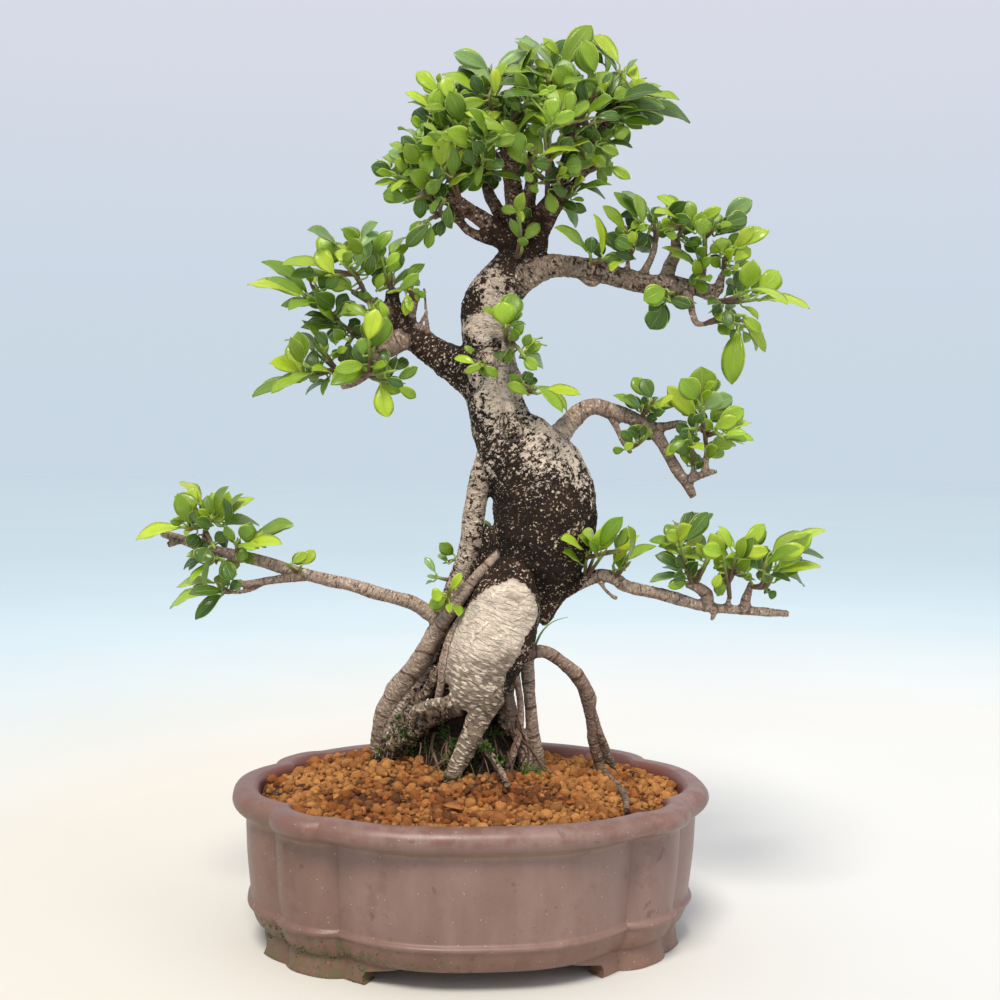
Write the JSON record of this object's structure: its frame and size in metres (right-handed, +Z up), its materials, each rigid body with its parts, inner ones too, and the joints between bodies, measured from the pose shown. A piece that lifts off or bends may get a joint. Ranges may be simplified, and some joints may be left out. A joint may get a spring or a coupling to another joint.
{
  "type": "bonsai tree in pot",
  "caption": "Ficus bonsai with a swollen trunk on exposed roots and leafy pads, in an unglazed lobed oval pot on corner feet, filled with granular soil.",
  "frame": {"origin": "centre of the whole object's bounding box in plan, at the soles of the pot's feet", "axes": "+Z up the tree, +X along the pot's long side, -Y towards the front from which the tree is meant to be seen"},
  "size_m": [0.521, 0.288, 0.6882],
  "materials": {
    "stoneware": "unglazed mauve-brown stoneware with a slight sheen",
    "granules": "dull baked clay granules, ochre to orange-brown",
    "bark": "grey-beige bark with black mottling and pale specks",
    "leaves": "glossy green leaves, yellow-green where new",
    "screen": "black plastic mesh"
  },
  "bodies": {
    "root": {"pot": "stoneware", "drain_screen_left": "screen", "drain_screen_right": "screen", "soil": "granules", "tree": "bark", "crown_outer_left": "leaves", "crown_low_hang": "leaves", "crown_left_front": "leaves", "crown_heart": "leaves", "crown_upper_left": "leaves", "crown_top_left": "leaves", "crown_front_mid": "leaves", "crown_low_mid": "leaves", "crown_mid_right": "leaves", "crown_top": "leaves", "crown_top_right": "leaves", "crown_outer_right": "leaves", "crown_front_right": "leaves", "crown_right_mid": "leaves", "crown_right_low": "leaves", "crown_neck": "leaves", "crown_back_left": "leaves", "crown_back_mid": "leaves", "crown_back_far": "leaves", "crown_back_low": "leaves", "left_top": "leaves", "left_reach": "leaves", "left_tips": "leaves", "left_low": "leaves", "left_inner": "leaves", "left_crest": "leaves", "left_fork": "leaves", "right_fan": "leaves", "right_spire": "leaves", "right_crest": "leaves", "right_spray": "leaves", "right_cluster": "leaves", "right_tip": "leaves", "right_hang": "leaves", "right_under": "leaves", "right_inner": "leaves", "mid_rise": "leaves", "mid_drop": "leaves", "mid_crest": "leaves", "mid_low": "leaves", "low_left_main": "leaves", "low_left_inner": "leaves", "low_left_hang": "leaves", "low_left_twig": "leaves", "low_left_single": "leaves", "low_right_sprout": "leaves", "low_right_shoot": "leaves", "low_right_left": "leaves", "low_right_mid": "leaves", "low_right_end": "leaves", "trunk_shoot": "leaves", "trunk_blade": "leaves", "trunk_side": "leaves", "root_sprout": "leaves"}
  },
  "joints": []
}
